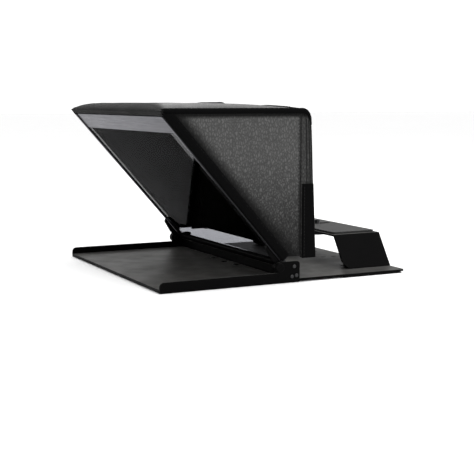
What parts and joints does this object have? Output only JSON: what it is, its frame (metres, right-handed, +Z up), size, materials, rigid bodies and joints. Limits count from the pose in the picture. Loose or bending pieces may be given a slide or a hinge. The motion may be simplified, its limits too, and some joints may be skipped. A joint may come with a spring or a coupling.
{
  "type": "teleprompter",
  "caption": "Folding tablet teleprompter: tray with side rails, tilted beam splitter glass under a leatherette hood, and a camera riser behind, on one flat base plate.",
  "frame": {"origin": "below the middle of the base, on the surface that the base stands on", "axes": "+X towards the side with the right-hand rail, +Y towards the camera operator, +Z up; the talent looks from -Y"},
  "size_m": [0.2492, 0.258, 0.1642],
  "materials": {
    "black_metal": "satin black powder coat on bent sheet",
    "steel": "dark plated screws",
    "leatherette": "pebbled black leatherette over stiff board",
    "binding": "soft black edge binding and lens collar",
    "rubber": "thin ribbed rubber pad",
    "nylon": "black nylon washers",
    "coated_glass": "half-mirror coated beam splitter glass"
  },
  "bodies": {
    "base": {"base_plate": "black_metal", "tray_cross_bar": "black_metal", "tripod_mount_plate": "black_metal", "camera_riser": "black_metal", "side_rail_left": "black_metal", "rear_stiffener_left": "black_metal", "hinge_pin_left": "black_metal", "side_rail_right": "black_metal", "rear_stiffener_right": "black_metal", "hinge_pin_right": "black_metal", "tripod_bush": "steel", "tripod_plate_screw_left": "steel", "rail_screw_left_1": "steel", "rail_screw_left_2": "steel", "rail_screw_left_3": "steel", "riser_screw_left_1": "steel", "riser_screw_left_2": "steel", "tripod_plate_screw_right": "steel", "rail_screw_right_1": "steel", "rail_screw_right_2": "steel", "rail_screw_right_3": "steel", "riser_screw_right_1": "steel", "riser_screw_right_2": "steel", "camera_pad": "rubber", "hinge_washer_left": "nylon", "hinge_washer_right": "nylon"},
    "mirror": {"mirror_top_bar": "black_metal", "mirror_bottom_bar": "black_metal", "beam_splitter_glass": "coated_glass", "hood_top_panel": "leatherette", "hood_top_flap": "leatherette", "hood_rear_panel": "leatherette", "hood_side_panel_left": "leatherette", "hood_side_panel_right": "leatherette", "hood_rear_border_left": "leatherette", "hood_rear_border_right": "leatherette", "lens_collar": "binding", "hood_front_binding_left": "binding", "hood_front_binding_right": "binding", "mirror_side_bar_left": "black_metal", "hinge_arm_left": "black_metal", "glass_clip_left_1": "black_metal", "glass_clip_left_2": "black_metal", "glass_clip_left_3": "black_metal", "mirror_side_bar_right": "black_metal", "hinge_arm_right": "black_metal", "glass_clip_right_1": "black_metal", "glass_clip_right_2": "black_metal", "glass_clip_right_3": "black_metal"},
    "camera_carriage": {"camera_screw_washer": "nylon"},
    "camera_screw": {"camera_screw": "steel"}
  },
  "joints": [
    {"name": "mirror_fold", "type": "hinge", "parent": "base", "child": "mirror", "pos_m": [0, -0.0103, 0.0146], "axis": [1, 0, 0], "range_deg": [0, 48]},
    {"name": "camera_slide", "type": "slide", "parent": "base", "child": "camera_carriage", "axis": [0, 1, 0], "range_m": [-0.015, 0.011]},
    {"name": "camera_screw_spin", "type": "hinge", "parent": "camera_carriage", "child": "camera_screw", "pos_m": [0, 0.103, 0.0284], "axis": [0, 0, 1], "continuous": true}
  ]
}
